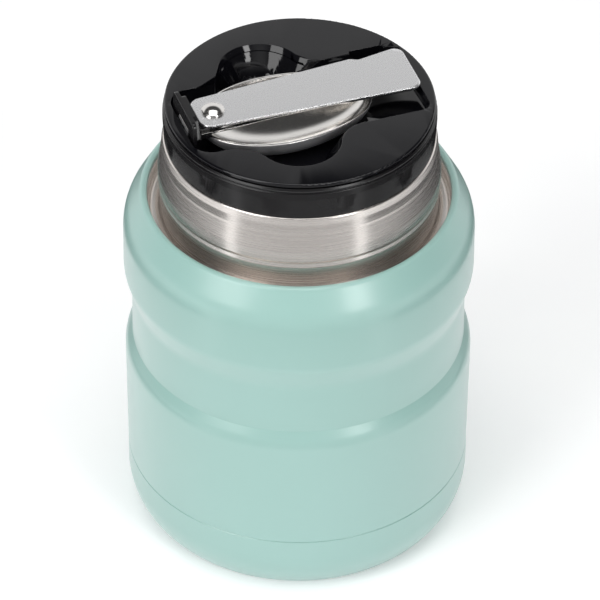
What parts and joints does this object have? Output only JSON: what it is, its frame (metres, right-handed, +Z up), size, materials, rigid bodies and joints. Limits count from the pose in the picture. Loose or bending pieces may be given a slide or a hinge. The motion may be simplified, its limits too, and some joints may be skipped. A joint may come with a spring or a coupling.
{
  "type": "insulated food jar",
  "caption": "Wide-mouth vacuum food jar with waisted steel body, bare steel neck, black screw stopper and a folding spoon stowed in the stopper's top.",
  "frame": {"origin": "centre of the standing ring, on the ground", "axes": "+Z up along the jar's axis and its longest extent; the pictured side faces -Y; the stowed spoon's handle points 19.5 degrees round from +X towards +Y"},
  "size_m": [0.094, 0.094, 0.139],
  "materials": {
    "mint_paint": "satin paint, pale mint green",
    "steel_brushed": "turned and brushed round the axis",
    "steel_plain": "plain drawn sheet",
    "steel_satin": "fine matt blasted, with bright bevelled edge",
    "steel_polished": "mirror polished stainless steel",
    "foil": "bright foil",
    "getter_metal": "sintered pellet",
    "seal_glass": "opaque solder glass",
    "silicone": "translucent silicone rubber",
    "black_satin": "satin moulded polypropylene, black",
    "black_gloss": "gloss moulded polypropylene, black",
    "foam": "closed-cell foam"
  },
  "bodies": {
    "jar": {"outer_shell": "mint_paint", "base_cup": "mint_paint", "base_disc": "steel_plain", "neck_ring": "steel_brushed", "inner_vessel": "steel_brushed", "radiation_shield": "foil", "getter": "getter_metal", "getter_clip": "steel_plain", "vacuum_seal": "seal_glass"},
    "seal": {"sealing_ring": "silicone"},
    "stopper": {"stopper_body": "black_satin", "stopper_tray": "black_gloss", "stopper_base": "black_satin", "stopper_foam": "foam"},
    "spoon": {"spoon_bowl": "steel_polished"},
    "handle": {"hinge_block": "black_satin", "hinge_pin": "steel_polished", "handle_rivet": "steel_polished", "handle_plate": "steel_satin", "handle_spring": "steel_polished"}
  },
  "joints": [
    {"name": "stopper_rise", "type": "slide", "parent": "jar", "child": "seal", "axis": [0, 0, 1], "range_m": [0, 0.024]},
    {"name": "stopper_turn", "type": "hinge", "parent": "seal", "child": "stopper", "pos_m": [0, 0, 0.1226], "axis": [0, 0, 1], "range_deg": [0, 720]},
    {"name": "spoon_lift", "type": "slide", "parent": "stopper", "child": "spoon", "axis": [0, 0, 1], "range_m": [0, 0.06]},
    {"name": "spoon_unfold", "type": "hinge", "parent": "spoon", "child": "handle", "pos_m": [-0.02884, -0.01021, 0.1332], "axis": [0.3338, -0.9426, 0], "range_deg": [0, 180]}
  ],
  "couplings": [
    {"joint": "stopper_rise", "follows": "stopper_turn", "m_per_rad": 0.0019099},
    {"joint": "spoon_lift", "follows": "spoon_unfold", "m_per_rad": 0.019099}
  ]
}
